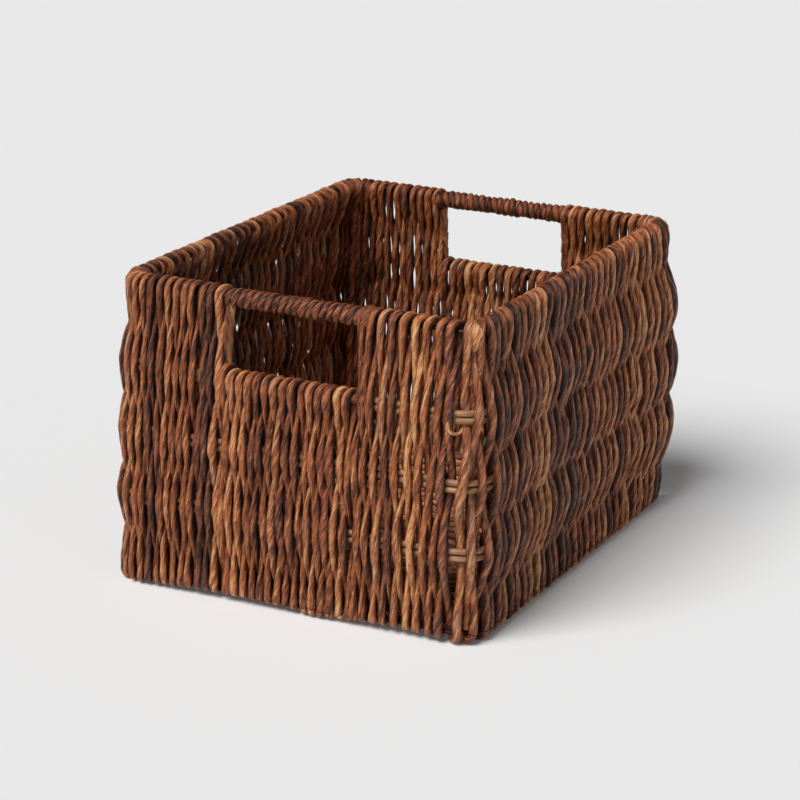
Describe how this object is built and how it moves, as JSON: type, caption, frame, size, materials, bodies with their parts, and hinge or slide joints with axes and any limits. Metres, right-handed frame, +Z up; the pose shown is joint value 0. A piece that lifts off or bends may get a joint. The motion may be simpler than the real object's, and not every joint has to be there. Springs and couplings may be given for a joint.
{
  "type": "wicker crate basket",
  "caption": "Open rectangular crate basket of twisted plant-fibre cord woven over rattan reeds on a wire frame, with a hand hole in each short wall.",
  "frame": {"origin": "on the floor, under the middle of the basket", "axes": "+Z up, +Y towards the back short wall, +X towards the right long wall; the short walls with the hand holes face -Y and +Y"},
  "size_m": [0.2974, 0.3834, 0.228],
  "materials": {
    "steel_wire": "dull dark drawn wire",
    "rattan_reed": "smooth dry tan reed",
    "fibre_cord": "twisted reddish-brown leaf-fibre cord with a faint sheen",
    "fibre_wrap": "flat leaf-fibre strip wound in a close spiral"
  },
  "bodies": {
    "root": {"top_rim_wire": "steel_wire", "base_rim_wire": "steel_wire", "corner_post_front_right": "steel_wire", "corner_post_back_right": "steel_wire", "corner_post_back_left": "steel_wire", "corner_post_front_left": "steel_wire", "handle_frame_front": "steel_wire", "handle_frame_back": "steel_wire", "reed_low_lower": "rattan_reed", "reed_low_upper": "rattan_reed", "reed_middle_lower": "rattan_reed", "reed_middle_upper": "rattan_reed", "reed_high_left_lower": "rattan_reed", "reed_high_left_upper": "rattan_reed", "reed_high_right_lower": "rattan_reed", "reed_high_right_upper": "rattan_reed", "base_reed_1a": "rattan_reed", "base_reed_1b": "rattan_reed", "base_reed_2a": "rattan_reed", "base_reed_2b": "rattan_reed", "base_reed_3a": "rattan_reed", "base_reed_3b": "rattan_reed", "base_reed_4a": "rattan_reed", "base_reed_4b": "rattan_reed", "base_reed_5a": "rattan_reed", "base_reed_5b": "rattan_reed", "front_wall_weave": "fibre_cord", "back_wall_weave": "fibre_cord", "left_wall_weave": "fibre_cord", "right_wall_weave": "fibre_cord", "base_weave": "fibre_cord", "handle_grip_front": "fibre_wrap", "handle_grip_back": "fibre_wrap", "handle_side_wrap_front_left": "fibre_wrap", "handle_side_wrap_front_right": "fibre_wrap", "handle_side_wrap_back_left": "fibre_wrap", "handle_side_wrap_back_right": "fibre_wrap", "post_wrap_front_right": "fibre_wrap", "post_wrap_back_right": "fibre_wrap", "post_wrap_back_left": "fibre_wrap", "post_wrap_front_left": "fibre_wrap"}
  },
  "joints": []
}
